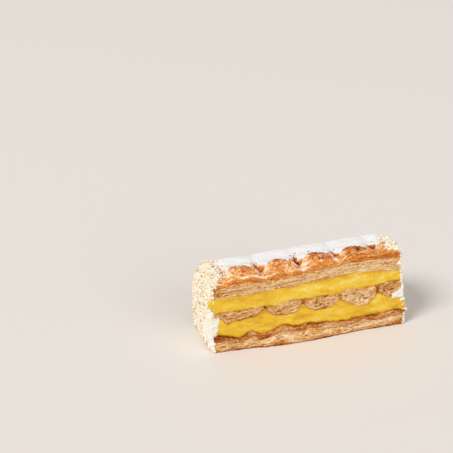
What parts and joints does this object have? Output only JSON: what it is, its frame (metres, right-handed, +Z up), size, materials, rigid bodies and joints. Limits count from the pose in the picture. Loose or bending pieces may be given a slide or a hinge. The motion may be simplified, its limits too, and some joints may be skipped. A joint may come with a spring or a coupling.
{
  "type": "mille feuille slice",
  "caption": "Cut slice of puff pastry layered with custard, with a domed glazed top, a stripe of icing sugar and crumb-coated ends.",
  "frame": {"origin": "on the underside of the bottom pastry, at the middle of the slice", "axes": "+X along the slice from end to end, -Y out of the cut face in front, +Z up"},
  "size_m": [0.1221, 0.0424, 0.0513],
  "materials": {
    "base_pastry": "baked puff pastry, pale flaky leaves between browned skins",
    "middle_pastry": "baked puff pastry, tan crumpled leaves",
    "glazed_crust": "pale flaky pastry under a glazed red-brown crust",
    "custard": "smooth yellow pastry custard with knife smears",
    "icing_sugar": "dusted icing sugar, matt and slightly grainy",
    "white_cream": "smooth white cream",
    "crumb_coat": "pastry crumbs pressed on the ends, dusted with icing sugar"
  },
  "bodies": {
    "root": {"bottom_pastry": "base_pastry", "custard_lower": "custard", "middle_pastry": "middle_pastry", "custard_upper": "custard", "top_pastry": "glazed_crust", "sugar_stripe": "icing_sugar", "cream_left": "white_cream", "cream_right": "white_cream", "crumb_coat_left": "crumb_coat", "crumb_coat_right": "crumb_coat"}
  },
  "joints": []
}
